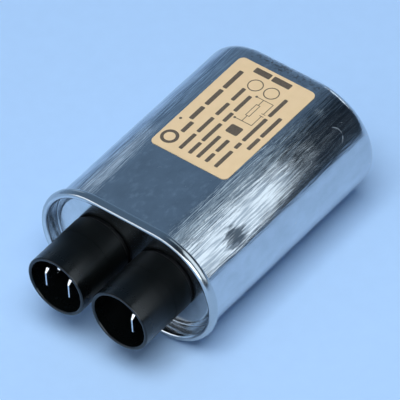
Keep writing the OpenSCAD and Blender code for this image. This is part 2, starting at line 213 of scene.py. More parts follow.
# Stretches of the can over which its marks come and go, each along one axis
CLOSED_END_Y = (CAN_HIGH.y - 4.0 * MM, CAN_HIGH.y - 0.8 * MM)
LOW_SIDE_Z = (AXIS_Z + 8.0 * MM, AXIS_Z + 13.0 * MM)
FLAT_SIDE_Z = (AXIS_Z + 16.0 * MM, AXIS_Z + 16.45 * MM)
# Where the pale blotches of painted reflection start on the flat side
PALE_BLOTCH_Z = (AXIS_Z + 16.0 * MM, AXIS_Z + 16.4 * MM)
STREAK_FOOT_Z = (AXIS_Z + 7.0 * MM, AXIS_Z + 9.5 * MM)
STREAK_TOP_Z = (AXIS_Z + 15.5 * MM, AXIS_Z + 16.3 * MM)
LEFT_SIDE_X = (CAN_LOW.x + 5.7 * MM, CAN_LOW.x + 15.7 * MM)

# Single marks on the can: the middle of each, and its reach in mm on each axis
SCUFF = (on_can(21.9, 51.55, 10.8), (2.2, 2.9, 2.4))
STAIN = (on_can(1.5, 1.85, 16.5), (11.0, 2.4, 3.0))
# The curved scratch is part of a ring: the ring's middle and radius, and where the part starts
SCRATCH_MIDDLE = on_can(21.2, 11.15, 11.5)
SCRATCH_RADIUS = 2.5 * MM
SCRATCH_Y = (SCRATCH_MIDDLE.y + 0.6 * MM, SCRATCH_MIDDLE.y + 1.6 * MM)
SCRATCH_EDGE = (0.04 * MM, 0.16 * MM)  # how far from its middle line it starts and ends to fade
THIN_EDGE = (0.001, 0.0032)  # the same for the thin scratches, as a share of their noise


def die_lines_and_painted_reflection(tree):
    """Mask of darker streaks along the upper part of the round sides: in part the die's lines, in part
    painted reflection that breaks up the bright strip mirrored there.
    """
    return overlap(
        tree,
        spots(tree, 0.4, 0.58, 0.6, (1, 15, 1), 3.0, first=0.9, last=0.0),
        fade(tree, "Z", STREAK_FOOT_Z),
        fade(tree, "Z", STREAK_TOP_Z, 1.0, 0.0),
        fade(tree, "Y", CLOSED_END_Y, 1.0, 0.0),
    )


def painted_reflection_blotches(tree):
    """Mask of pale blotches on the flat side, which are painted reflection of a slightly wavy sheet."""
    smears = spots(tree, 0.48, 0.76, 1.3, (1, 1.6, 1), 3.0)
    return overlap(tree, smears, spots(tree, 0.45, 0.6, 4.0, last=0.8), fade(tree, "Z", PALE_BLOTCH_Z))


def end_stains(tree):
    """Mask of the faint stains where the flat side meets the closed end."""
    return overlap(tree, spots(tree, 0.45, 0.62, 0.7, last=0.8), ragged_patch(tree, *STAIN, 2.0))


def curved_scratch(tree):
    """Mask of one curved scratch near the closed end: a stretch of a ring, a little broken."""
    place = add(tree, "ShaderNodeTexCoord").node.outputs["Object"]
    away = add(tree, "ShaderNodeVectorMath", {"operation": "DISTANCE"}, [place, SCRATCH_MIDDLE])
    past = add(tree, "ShaderNodeMath", LESS, [away.node.outputs["Value"], SCRATCH_RADIUS])
    off_line = add(tree, "ShaderNodeMath", UNSIGNED, [past])
    line = add(tree, "ShaderNodeMapRange", None, span(off_line, 1.0, 0.0, *SCRATCH_EDGE))
    return overlap(tree, line, fade(tree, "Y", SCRATCH_Y), spots(tree, 0.38, 0.52, 1.3, first=0.3))


def thin_scratches(tree):
    """Mask of thin broken scratches from handling, where one noise crosses its middle and another is
    high."""
    past = add(tree, "ShaderNodeMath", LESS, [grain(tree, 7.0, detail=0.5), 0.5])
    off_line = add(tree, "ShaderNodeMath", UNSIGNED, [past])
    line = add(tree, "ShaderNodeMapRange", None, span(off_line, 1.0, 0.0, *THIN_EDGE))
    return overlap(tree, line, spots(tree, 0.62, 0.68, 3.2))


def drawn_aluminium():
    """Deep drawn aluminium sheet: a bright mirror with fine lines from the die along its wall, which
    break up a highlight into long streaks. Handling adds scratches and a dark scuff. Its colour also
    holds painted reflection: blotches all over, pale ones on the flat side, and darker streaks on the
    upper round sides, which are in part the die's lines."""
    made, tree = new_material("deep_drawn_aluminium")
    # The die's real lines are under 0.1 mm apart, too fine to show, so they are drawn 0.4 mm wide
    lines = grain(tree, 0.4, (1, 19, 1))
    bands = grain(tree, 1.8, (1, 14, 1))
    scuffed = ragged_patch(tree, *SCUFF, 0.45, (1, 9, 1))
    scratches = [thin_scratches(tree), curved_scratch(tree)]
    scratched = add(tree, "ShaderNodeMath", {"operation": "MAXIMUM"}, scratches)

    # The metal's own tone, in 3 mm blotches that are painted reflection of a slightly wavy sheet
    colour = shades(tree, grain(tree, 3.0, (1, 1.5, 1)), "#C4C7CA", "#D0D3D6")
    layers = [
        # Darker streaks: the die's lines, and painted reflection that breaks up the bright strip
        (die_lines_and_painted_reflection(tree), "#8C949C"),
        # Pale blotches: painted reflection of a slightly wavy sheet
        (painted_reflection_blotches(tree), "#EDEEEF"),
        (scuffed, "#5A626A"),
        (end_stains(tree), "#8A7D76"),
    ]
    for mask, shade in layers:
        colour = add(tree, "ShaderNodeMix", COLOURS, {"Factor": mask, "A": colour, "B": linear(shade)})
    rough = add(tree, "ShaderNodeMapRange", None, span(bands, 0.1, 0.16))
    for mask, duller in ((scuffed, 0.3), (scratched, 0.35)):
        rough = add(tree, "ShaderNodeMath", TIMES_PLUS, [mask, duller, rough])

    # The lines are weaker low on the sides, on the flat side and on the left, and stop at the closed end
    strength = overlap(
        tree,
        fade(tree, "Y", CLOSED_END_Y, 1.0, 0.0),
        fade(tree, "Z", LOW_SIDE_Z, 0.2, 1.0),
        fade(tree, "Z", FLAT_SIDE_Z, 1.0, 0.5),
        fade(tree, "X", LEFT_SIDE_X, 0.35, 1.0),
    )
    relief = {}
    for pattern, depth in ((bands, 0.08), (lines, 0.13)):
        level = add(tree, "ShaderNodeMath", LESS, [pattern, 0.5])
        height = {"Height": overlap(tree, level, strength), "Distance": depth * MM, "Strength": 1.0}
        relief = {"Normal": add(tree, "ShaderNodeBump", None, {**height, **relief})}
    return surfaced(made, {"Base Color": colour, "Roughness": rough, "Metallic": 1.0, **relief})


def pressed_aluminium():
    """Pressed aluminium sheet: bright and smooth from the tool, and a little duller and wavy where the
    rollers closed the seam."""
    made, tree = new_material("pressed_aluminium")
    share = grain(tree, 3.0)
    rolled = add(tree, "ShaderNodeAttribute", {"attribute_name": "rolled"}).node.outputs["Fac"]
    tones = {"Factor": rolled, "A": shades(tree, share, "#C9CCCE", "#DADCDD"), "B": linear("#BCBFC0")}
    rough = add(tree, "ShaderNodeMapRange", None, span(share, 0.14, 0.2))
    waves = {"Height": overlap(tree, grain(tree, 2.2), rolled), "Distance": 0.02 * MM, "Strength": 1.0}
    inputs = {
        "Base Color": add(tree, "ShaderNodeMix", COLOURS, tones),
        "Roughness": add(tree, "ShaderNodeMath", TIMES_PLUS, [rolled, 0.02, rough]),
        "Normal": add(tree, "ShaderNodeBump", None, waves),
        "Metallic": 1.0,
    }
    return surfaced(made, inputs)


DULL_DEPTH = 9.0 * MM  # how far behind its mouth a cup's skin is at its dullest


def moulded_polyester():
    """Moulded glass-filled polyester: black and glossy at the mouth, where the mould was polished, and
    duller towards the foot, so that its highlight fades along the cup."""
    made, tree = new_material("moulded_polyester")
    dulled = (CUP_MOUTH, CUP_MOUTH + DULL_DEPTH)
    share = grain(tree, 0.5)
    patchy = add(tree, "ShaderNodeMapRange", None, span(share, 0.0, 0.05))
    skin = {"Height": share, "Distance": 0.0004 * MM, "Strength": 1.0}
    inputs = {
        "Base Color": shades(tree, share, "#040606", "#06090A"),
        "Roughness": add(tree, "ShaderNodeMath", PLUS, [patchy, fade(tree, "Y", dulled, 0.17, 0.45)]),
        "Specular IOR Level": fade(tree, "Y", dulled, 0.42, 0.16),
        "Normal": add(tree, "ShaderNodeBump", None, skin),
    }
    return surfaced(made, inputs)


FINISHES = {
    "can_aluminium": drawn_aluminium(),
    "lid_metal": pressed_aluminium(),
    # Rubber compound, cured in the seam: dark and matt
    "seam_compound": finish("cured_sealing_compound", "#2A2C2B", "#3A3C3A", (0.6, 0.8), 0.8),
    "cup_plastic": moulded_polyester(),
    # Nitrile rubber from a plain mould: black and matt, with a faintly uneven skin
    "gasket_rubber": finish("moulded_nitrile_rubber", "#101010", "#191918", (0.6, 0.75), 0.5, bump=0.01),
    # Brass strip plated with bright tin: near white, with sharp highlights on its bends
    "tinned_brass": finish(
        "bright_tinned_brass", "#D3D6DA", "#E6E8EA", (0.1, 0.2), 0.7, bump=0.002, Metallic=1.0
    ),
    # Steel with a zinc coat: grey metal with a soft sheen
    "rivet_steel": finish("zinc_plated_steel", "#A9ABAD", "#C6C8C9", (0.25, 0.4), 0.8, Metallic=1.0),
    # Paper board pressed with phenolic resin: brown, mottled and half matt
    "washer_board": finish("pressed_phenolic_board", "#6B3F22", "#85542F", (0.45, 0.6), 0.6, bump=0.01),
    # Copper strip dipped in tin: pale metal with a soft, cloudy sheen
    "tinned_copper": finish("dip_tinned_copper", "#C4C6C6", "#D6D7D6", (0.2, 0.35), 0.9, Metallic=1.0),
    # Solder that set in lumps: grey metal with an uneven, half dull skin
    "solder": finish("cast_soft_solder", "#9C9EA0", "#BDBFC0", (0.3, 0.5), 1.2, bump=0.03, Metallic=1.0),
    # Foil and clear film wound together: silver bands along the turns
    "winding_film": finish(
        "wound_foil_and_film", "#B9BCC0", "#E3E4E4", (0.2, 0.45), 1.5, (1, 8, 1), Metallic=0.6
    ),
    # Pressed paper board: tan and matt, with short fibres across it, drawn at 0.5 mm to show
    "press_board": finish(
        "electrical_pressboard", "#A9865A", "#C0A074", (0.75, 0.9), 0.5, (3, 1, 1), 0.012
    ),
    # Lacquer dipped over the resistor: tan with a soft gloss
    "resistor_body": finish("dipped_lacquer", "#8A6A3C", "#9B7A49", (0.35, 0.5), 1.0),
    # Varnished woven glass: green and half matt, its weave drawn at 0.4 mm to show
    "sleeve_plastic": finish("woven_glass_sleeve", "#2F6B4F", "#3F8062", (0.5, 0.65), 0.4, bump=0.01),
    # Polyester film, coated beige: an even colour with a soft sheen
    "label_film": finish("coated_polyester_film", "#E3C89E", "#E7CCA3", (0.38, 0.46), 2.5),
    # Ink printed on the film: dark brown and a little duller than the film
    "label_ink": finish("printed_ink", "#574E43", "#655B4F", (0.5, 0.6), 0.5),
}
for node in NODES.values():
    slot = node.material_slots[0].material.name
    node.data.materials[0] = FINISHES[slot]


# ---- Meshes ----


def own_mesh(name, mesh, slot, *nodes):
    """Puts a finished mesh in the scene as a piece that stands for those CAD nodes."""
    piece = bpy.data.objects.new(name, mesh)
    bpy.context.scene.collection.objects.link(piece)
    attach(piece, "root")
    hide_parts(*nodes)


def tree_inputs(name, sizes):
    """A Geometry Nodes tree that takes a mesh and one named number for each size, and its input sockets."""
    tree = bpy.data.node_groups.new(name, "GeometryNodeTree")
    tree.interface.new_socket("Geometry", in_out="OUTPUT", socket_type="NodeSocketGeometry")
    tree.interface.new_socket("Start", in_out="INPUT", socket_type="NodeSocketGeometry")
    for label, value in sizes.items():
        socket = tree.interface.new_socket(label, in_out="INPUT", socket_type="NodeSocketFloat")
        socket.default_value = value
    given = tree.nodes.new("NodeGroupInput").outputs
    return tree, {label: given[label] for label in ["Start", *sizes]}


def grown(tree, sizes, start=None):
    """The plain mesh that a Geometry Nodes tree makes with those sizes, from a mesh to start with."""
    holder = bpy.data.objects.new(tree.name, start or bpy.data.meshes.new(tree.name))
    bpy.context.scene.collection.objects.link(holder)
    modifier = holder.modifiers.new(tree.name, "NODES")
    modifier.node_group = tree
    for item in tree.interface.items_tree:
        if item.in_out == "INPUT" and item.name in sizes:
            modifier[item.identifier] = sizes[item.name]
    shown = holder.evaluated_get(bpy.context.evaluated_depsgraph_get())
    mesh = bpy.data.meshes.new_from_object(shown)
    holder.modifiers.clear()
    bpy.data.objects.remove(holder)
    return mesh


def finished(tree, skin, metal):
    """Ends a Geometry Nodes tree: real geometry in that metal."""
    real = add(tree, "GeometryNodeRealizeInstances", None, {"Geometry": skin})
    dressed = add(tree, "GeometryNodeSetMaterial", None, {"Geometry": real, "Material": metal})
    add(tree, "NodeGroupOutput", None, {"Geometry": dressed})


def oval_path(tree, flat_width, radius, steps):
    """Flat oval path: two half circles of that radius, with straight sides of that width between."""
    across = add(tree, "ShaderNodeMath", TIMES, [radius, 2.0])
    width = add(tree, "ShaderNodeMath", PLUS, [flat_width, across])
    box = add(tree, "GeometryNodeCurvePrimitiveQuadrilateral", None, {"Width": width, "Height": across})
    corners = {"Curve": box, "Count": steps, "Radius": radius}
    return add(tree, "GeometryNodeFilletCurve", {"mode": "POLY"}, corners)


def lowered(tree, shape, depth):
    """The shape moved down by that depth."""
    drop = add(tree, "ShaderNodeMath", TIMES, [depth, -1.0])
    place = add(tree, "ShaderNodeCombineXYZ", None, {"Z": drop})
    return add(tree, "GeometryNodeTransform", None, {"Geometry": shape, "Translation": place})


def outward(mesh):
    """Turns every face of a closed or nearly closed mesh outwards."""
    work = bmesh.new()
    work.from_mesh(mesh)
    bmesh.ops.recalc_face_normals(work, faces=work.faces)
    work.to_mesh(mesh)
    work.free()


def creased(mesh, limit=30):
    """The same mesh, shaded sharply where its faces meet at more than that many degrees."""
    work = bmesh.new()
    work.from_mesh(mesh)
    for edge in work.edges:
        edge.smooth = edge.calc_face_angle(0) < math.radians(limit)
    work.to_mesh(mesh)
    work.free()
    return mesh


def thickened(mesh, thickness):
    """The same skin with a wall of that thickness behind it, its edges kept crisp."""
    holder = bpy.data.objects.new(mesh.name, mesh)
    bpy.context.scene.collection.objects.link(holder)
    wall = holder.modifiers.new("wall", "SOLIDIFY")
    wall.thickness, wall.offset = thickness, -1
    shown = holder.evaluated_get(bpy.context.evaluated_depsgraph_get())
    made = bpy.data.meshes.new_from_object(shown)
    bpy.data.objects.remove(holder)
    return creased(made)


# ---- Can: the oval sweep, with the dents and the slight unevenness of a drawn and handled can ----

CAN_ROUND = 16.5 * MM  # outer radius of the oval's two ends
CAN_EDGE = 3.5 * MM  # outer radius of the edge round the closed end
CAN_SHEET = 0.4 * MM
HOOK_OUT = 0.8 * MM  # how far the can's hook stands out past its wall
SEAM_COVER = 1.0 * MM  # how far the wall's end lies inside the seam
SEWN = 0.01 * MM  # corners closer than this become one
CAN_SIZES = {
    "Flat width": CAN_HIGH.x - CAN_LOW.x - 2 * CAN_ROUND - 2 * HOOK_OUT,
    "Path radius": CAN_ROUND - CAN_EDGE,
    "Edge radius": CAN_EDGE,
    "Wall length": CAN_HIGH.y - CAN_EDGE - LID_LOW.y - SEAM_COVER,
    "Closed end": CAN_HIGH.y,
    "Axis height": AXIS_Z,
    "Cell": 0.55 * MM,  # distance between the mesh's rings, and between its lines
    "Ripple size": 8 * MM,
    "Ripple depth": 0.06 * MM,
}
# Each dent is its middle, and its radius and its depth in mm
DENTS = [
    (on_can(20.8, 51.05, 11.9), 3.4, 0.12),
    (on_can(15.5, 10.55, 15.3), 2.6, 0.05),
    (on_can(-14.0, 57.55, 15.7), 3.0, 0.05),
    (on_can(3.0, 53.55, 16.5), 4.0, 0.04),
]


def can_section(tree, size):
    """Can's section: the wall up from the seam, and the rounded edge in the same direction."""
    bend = {"Resolution": 12, "Radius": size["Edge radius"], "Start Angle": 0.0, "Sweep Angle": math.pi / 2}
    edge = add(tree, "GeometryNodeCurveArc", {"mode": "RADIUS"}, bend)
    top = add(tree, "ShaderNodeCombineXYZ", None, {"X": size["Edge radius"]})
    depth = add(tree, "ShaderNodeMath", TIMES, [size["Wall length"], -1.0])
    bottom = add(tree, "ShaderNodeCombineXYZ", None, {"X": size["Edge radius"], "Y": depth})
    line = add(tree, "GeometryNodeCurvePrimitiveLine", None, {"Start": bottom, "End": top})
    cells = {"Curve": line, "Length": size["Cell"]}
    wall = add(tree, "GeometryNodeResampleCurve", {"mode": "LENGTH"}, cells)
    section = add(tree, "GeometryNodeJoinGeometry", None, {"Geometry": edge})
    tree.links.new(wall, section.node.inputs["Geometry"])
    return section


def dented(tree, size, skin):
    """The skin with its ripples and dents, all inwards."""
    spot = add(tree, "GeometryNodeInputPosition")
    closeness = add(tree, "ShaderNodeMath", {"operation": "DIVIDE"}, [1.0, size["Ripple size"]])
    waves = add(tree, "ShaderNodeTexNoise", None, {"Vector": spot, "Scale": closeness, "Detail": 1.0})
    inward = add(tree, "ShaderNodeMath", TIMES, [waves, size["Ripple depth"]])
    for middle, radius, hollow in DENTS:
        measured = add(tree, "ShaderNodeVectorMath", {"operation": "DISTANCE"}, [spot, middle])
        fading = span(measured.node.outputs["Value"], hollow * MM, 0.0, 0.0, radius * MM)
        pressed = add(tree, "ShaderNodeMapRange", {"interpolation_type": "SMOOTHSTEP"}, fading)
        inward = add(tree, "ShaderNodeMath", PLUS, [inward, pressed])
    facing = add(tree, "GeometryNodeInputNormal")
    back = add(tree, "ShaderNodeMath", TIMES, [inward, -1.0])
    push = add(tree, "ShaderNodeVectorMath", {"operation": "SCALE"}, {"Vector": facing, "Scale": back})
    return add(tree, "GeometryNodeSetPosition", None, {"Geometry": skin, "Offset": push})


def drawn_can():
    """Can's sheet: its section swept round the oval, closed with its flat end, laid down and dented."""
    tree, size = tree_inputs("drawn_can", CAN_SIZES)
    oval = oval_path(tree, size["Flat width"], size["Path radius"], 48)
    spacing = {"Curve": oval, "Length": size["Cell"]}
    path = add(tree, "GeometryNodeResampleCurve", {"mode": "LENGTH"}, spacing)
    sweep = {"Curve": path, "Profile Curve": can_section(tree, size)}
    swept = add(tree, "GeometryNodeCurveToMesh", None, sweep)

    # Flat end, at the top of the rounded edge
    end = add(tree, "GeometryNodeFillCurve", {"mode": "NGONS"}, {"Curve": path})
    end = lowered(tree, end, size["Edge radius"])
    end = add(tree, "GeometryNodeFlipFaces", None, {"Mesh": end})
    skin = add(tree, "GeometryNodeJoinGeometry", None, {"Geometry": swept})
    tree.links.new(end, skin.node.inputs["Geometry"])
    sewn = add(tree, "GeometryNodeMergeByDistance", None, {"Geometry": skin, "Distance": SEWN})

    end_y = add(tree, "ShaderNodeMath", LESS, [size["Closed end"], size["Edge radius"]])
    lying = {
        "Geometry": sewn,
        "Translation": add(tree, "ShaderNodeCombineXYZ", None, {"Y": end_y, "Z": size["Axis height"]}),
        "Rotation": (math.pi / 2, 0, 0),
    }
    laid = add(tree, "GeometryNodeTransform", None, lying)
    smooth = add(tree, "GeometryNodeSetShadeSmooth", None, {"Geometry": dented(tree, size, laid)})
    finished(tree, smooth, FINISHES["can_aluminium"])
    return grown(tree, CAN_SIZES)


can_skin = drawn_can()
outward(can_skin)
own_mesh("drawn_can", thickened(can_skin, CAN_SHEET), "can_aluminium", "can")


# ---- Lid: a folded section swept round the oval, and a flat panel with holes for the cups' necks ----

LID_SHEET = 0.4 * MM
LID_BEND = 0.3 * MM  # inside radius of the bends in the groove
PANEL_Y = LID_LOW.y + 3.2 * MM  # outer face of the panel
GROOVE_DEPTH = 1.1 * MM
GROOVE_FLOOR = 0.8 * MM  # straight part of the groove's floor
SEAM_TURN = 0.56 * MM  # inside radius over the can's hook
SEAM_BARREL = 1.8 * MM  # inside radius of the seam's slightly barrelled side
HOOK_TURN = 0.16 * MM  # inside radius of the lid's own hook
HOOK_LENGTH = 0.5 * MM
ROLLED_TOP = 0.2 * MM  # how far out from the lid's wall the rollers touch the seam's top
ROLLED_SIDE = 1.0 * MM  # how far out from the lid's wall everything is rolled
LID_SEWN = 0.002 * MM  # the same as SEWN, for the lid's finer corners
LID_SIZES = {
    "Flat width": CAN_SIZES["Flat width"],
    "Panel radius": 13.3 * MM,
    "Panel face": PANEL_Y,
    "Sheet": LID_SHEET,
    "Axis height": AXIS_Z,
    "Hole radius": 4.4 * MM,
    "Hole place": 9.9 * MM,
}


TURN_STEP = 6  # degrees between two points of a turn


def folded_section(start, heading, steps, thick):
    """Left and right sides of a folded sheet that lies to the left of its path. A step is a straight run,
    the turn after it in degrees and the turn's inside radius."""
    spot, heading = Vector(start), math.radians(heading)
    right, left = [], []

    def keep():
        side = Vector((-math.sin(heading), math.cos(heading))) * thick
        right.append(spot.copy())
        left.append(spot + side)

    keep()
    for run, turn, inside in steps:
        spot = spot + Vector((math.cos(heading), math.sin(heading))) * run
        keep()
        cuts = round(abs(turn) / TURN_STEP)
        reach = inside + thick if turn > 0 else -inside
        centre = spot + Vector((-math.sin(heading), math.cos(heading))) * reach
        for _ in range(cuts):
            heading += math.radians(turn) / cuts
            spot = centre - Vector((-math.sin(heading), math.cos(heading))) * reach
            keep()
    return left, right


def lid_section():
    """Lid's section past its panel, as a chain of edges: x is measured outwards from the panel's edge."""
    sheet, bend, room = LID_SHEET, LID_BEND, LID_SHEET + LID_BEND
    wall = CAN_ROUND - CAN_SHEET  # where the lid's wall meets the can
    flat = wall - GROOVE_FLOOR - 2 * room - bend - LID_SIZES["Panel radius"]
    inner_y = PANEL_Y + sheet
    seam_y = LID_LOW.y + sheet + SEAM_TURN  # where the wall ends and the turn over the hook starts
    steps = [
        (flat, 90, bend),
        (GROOVE_DEPTH - room - bend, -90, bend),
        (GROOVE_FLOOR, -90, bend),
        (inner_y + GROOVE_DEPTH - room - seam_y, 160, SEAM_TURN),
        (0, 40, SEAM_BARREL),
        (0, 160, HOOK_TURN),
        (HOOK_LENGTH, 0, 0),
    ]
    # The path runs along the inner face, so its sheet lies to the right: mirrored to suit the sweep
    mirrored = [(run, -turn, inside) for run, turn, inside in steps]
    left, right = folded_section((0, -inner_y), 0, mirrored, sheet)
    outline = [Vector((p.x, -p.y, 0)) for p in left + right[::-1]]
    mesh = bpy.data.meshes.new("lid_section")
    mesh.from_pydata(outline, [(k, k + 1) for k in range(len(outline) - 1)], [])

    # The rollers touch what lies past the wall's top
    rolled = mesh.attributes.new("rolled", "FLOAT", "POINT")
    wall_x = flat + 2 * room + GROOVE_FLOOR
    for mark, p in zip(rolled.data, outline):
        on_top = -p.y < seam_y and p.x > wall_x + ROLLED_TOP
        mark.value = float(on_top or p.x > wall_x + ROLLED_SIDE)
    return mesh


def neck_rings(tree, size):
    """One ring for each cup's neck."""
    circle = {"Resolution": 64, "Radius": size["Hole radius"]}
    ring = add(tree, "GeometryNodeCurvePrimitiveCircle", None, circle)
    rings = add(tree, "GeometryNodeJoinGeometry")
    for side in (-1.0, 1.0):
        aside = add(tree, "ShaderNodeMath", TIMES, [size["Hole place"], side])
        place = add(tree, "ShaderNodeCombineXYZ", None, {"X": aside})
        placed = add(tree, "GeometryNodeTransform", None, {"Geometry": ring, "Translation": place})
        tree.links.new(placed, rings.node.inputs["Geometry"])
    return rings


def pressed_lid():
    """Lid: the section swept round the oval, closed by both faces of the panel and the holes' walls."""
    tree, size = tree_inputs("pressed_lid", LID_SIZES)
    oval = oval_path(tree, size["Flat width"], size["Panel radius"], 64)
    section = add(tree, "GeometryNodeMeshToCurve", None, {"Mesh": size["Start"]})
    swept = add(tree, "GeometryNodeCurveToMesh", None, {"Curve": oval, "Profile Curve": section})
    swept = add(tree, "GeometryNodeSetShadeSmooth", None, {"Geometry": swept})

    # The two faces of the panel, with the necks' rings left open
    rings = neck_rings(tree, size)
    whole = add(tree, "GeometryNodeJoinGeometry", None, {"Geometry": rings})
    tree.links.new(oval, whole.node.inputs["Geometry"])
    inner_face = add(tree, "ShaderNodeMath", PLUS, [size["Panel face"], size["Sheet"]])
    faces = (size["Panel face"], inner_face)
    skin = add(tree, "GeometryNodeJoinGeometry", None, {"Geometry": swept})
    for level in faces:
        panel = add(tree, "GeometryNodeFillCurve", {"mode": "TRIANGLES"}, {"Curve": whole})
        tree.links.new(lowered(tree, panel, level), skin.node.inputs["Geometry"])

    # The holes' walls, between the two faces
    ends = [add(tree, "ShaderNodeCombineXYZ", None, {"Y": level}) for level in faces]
    rise = add(tree, "GeometryNodeCurvePrimitiveLine", None, {"Start": ends[0], "End": ends[1]})
    walls = add(tree, "GeometryNodeCurveToMesh", None, {"Curve": rings, "Profile Curve": rise})
    tree.links.new(walls, skin.node.inputs["Geometry"])
    sewn = add(tree, "GeometryNodeMergeByDistance", None, {"Geometry": skin, "Distance": LID_SEWN})
    lying = {
        "Geometry": sewn,
        "Translation": add(tree, "ShaderNodeCombineXYZ", None, {"Z": size["Axis height"]}),
        "Rotation": (math.pi / 2, 0, 0),
    }
    finished(tree, add(tree, "GeometryNodeTransform", None, lying), FINISHES["lid_metal"])
    return grown(tree, LID_SIZES, lid_section())


lid_skin = pressed_lid()
outward(lid_skin)
own_mesh("pressed_lid", lid_skin, "lid_metal", "can_lid")


# ---- Label: film with its print as faces of the same sheet, bent with the can past its flat side ----

LABEL_THICK = 0.12 * MM
# The rest is in mm on the label's own axes: along the can from the label's near edge, and across it
# from the label's left edge
LABEL_LENGTH = (LABEL_HIGH.y - LABEL_LOW.y) / MM
LABEL_WIDTH = (LABEL_HIGH.x - LABEL_LOW.x) / MM
LABEL_CORNER = 1.6
BEND_STEP = 0.4  # distance between the cuts that let the label's sides bend
BEND_CUTS = 6
BEND_MARGIN = 0.35  # how far those cuts stop short of the label's ends
# Rows of bars: middle of the row, height, and each bar's two ends
ROWS = [
    (3.6, 1.3, [(12.0, 17.2), (18.2, 24.6), (25.4, 32.7)]),
    (4.7, 1.2, [(7.2, 11.4)]),
    (7.9, 1.1, [(2.3, 8.5), (9.4, 15.6), (16.8, 21.8), (23.1, 28.2)]),
    (10.8, 1.1, [(2.3, 6.9), (7.6, 15.0), (16.0, 19.6), (20.4, 26.9)]),
    (13.3, 1.1, [(2.4, 11.4)]),
    (15.9, 1.1, [(2.4, 5.8), (6.7, 11.5)]),
    (18.9, 1.1, [(2.3, 9.0), (10.2, 12.5), (13.4, 22.8), (23.8, 31.0)]),
    (21.7, 1.1, [(11.7, 16.3), (17.0, 25.0)]),
]
END_BARS = (34.1, 36.0)  # two bars side by side across the far end
END_BAR_PLACES = [(8.3, 5.0), (14.2, 5.6)]  # middle and length of each
BLOCK = (13.6, 16.7, 14.8, 3.6, 0.5)  # start, end, middle, height and corner
SMALL_SPOT = (10.8, 1.4, 0.4)  # middle and radius
# Rings: middle, outer radius and inner radius
RINGS = [
    (4.2, 3.2, 2.4, 1.5),
    (30.6, 9.4, 2.1, 1.8),
    (30.6, 14.4, 2.1, 1.8),
]
# Circuit diagram: its two sides, and its terminals, resistor and capacitor from left to right
LINE_WIDTH = 0.2
SIDES = (18.8, 27.6)
TERMINALS, RESISTOR, CAPACITOR = 12.1, 14.3, 17.3
TERMINAL_RADIUS = 0.35
RESISTOR_ENDS = (20.9, 25.5)
RESISTOR_HEIGHT = 1.3
PLATES = (22.8, 23.6)
PLATE_HEIGHT = 1.2


def bar(start, end, middle, height, corner=0.3, steps=4):
    """Outline of a bar with rounded corners."""
    corner = min(corner, height / 2, (end - start) / 2)
    low, high = middle - height / 2, middle + height / 2
    near, far = start + corner, end - corner
    turns = ((far, high - corner), (near, high - corner), (near, low + corner), (far, low + corner))
    outline = []
    for quarter, (x, y) in enumerate(turns):
        for k in range(steps + 1):
            angle = math.radians(90 * (quarter + k / steps))
            outline.append((x + corner * math.cos(angle), y + corner * math.sin(angle)))
    return outline


def disc(along, across, radius, steps=32):
    """Outline of a round spot."""
    turns = [2 * math.pi * k / steps for k in range(steps)]
    return [(along + radius * math.cos(t), across + radius * math.sin(t)) for t in turns]


def circuit():
    """Inked outlines of a resistor across a capacitor between two terminals, and the resistor's hole."""
    left, right = SIDES
    near, far = RESISTOR_ENDS
    inked = []
    for side in SIDES:
        inked.append(disc(side, TERMINALS, TERMINAL_RADIUS))
        middle, length = (TERMINALS + CAPACITOR) / 2, CAPACITOR - TERMINALS
        inked.append(bar(side - LINE_WIDTH / 2, side + LINE_WIDTH / 2, middle, length, 0))
    for start, end, row in (
        (left, near, RESISTOR),
        (far, right, RESISTOR),
        (left, PLATES[0], CAPACITOR),
        (PLATES[1], right, CAPACITOR),
    ):
        inked.append(bar(start, end, row, LINE_WIDTH, 0))
    for plate in PLATES:
        inked.append(bar(plate - LINE_WIDTH / 2, plate + LINE_WIDTH / 2, CAPACITOR, PLATE_HEIGHT, 0))
    inked.append(bar(near, far, RESISTOR, RESISTOR_HEIGHT, 0))
    hole = bar(near + LINE_WIDTH, far - LINE_WIDTH, RESISTOR, RESISTOR_HEIGHT - 2 * LINE_WIDTH, 0)
    return inked, hole


def print_shapes():
    """Inked outlines and the holes left in them."""
    inked = [bar(a, b, middle, height) for middle, height, bars in ROWS for a, b in bars]
    inked += [bar(*END_BARS, middle, length) for middle, length in END_BAR_PLACES]
    inked += [bar(*BLOCK), disc(*SMALL_SPOT)]
    drawn, hole = circuit()
    inked += drawn
    holes = [hole]
    for along, across, outer, inner in RINGS:
        inked.append(disc(along, across, outer))
        holes.append(disc(along, across, inner))
    return inked, holes


def label_height(x):
    """Height of the label's face at that X: flat in the middle, then round with the can."""
    past = max(0.0, abs(x) - CAN_SIZES["Flat width"] / 2)
    return AXIS_Z + math.sqrt((CAN_ROUND + LABEL_THICK) ** 2 - past**2)


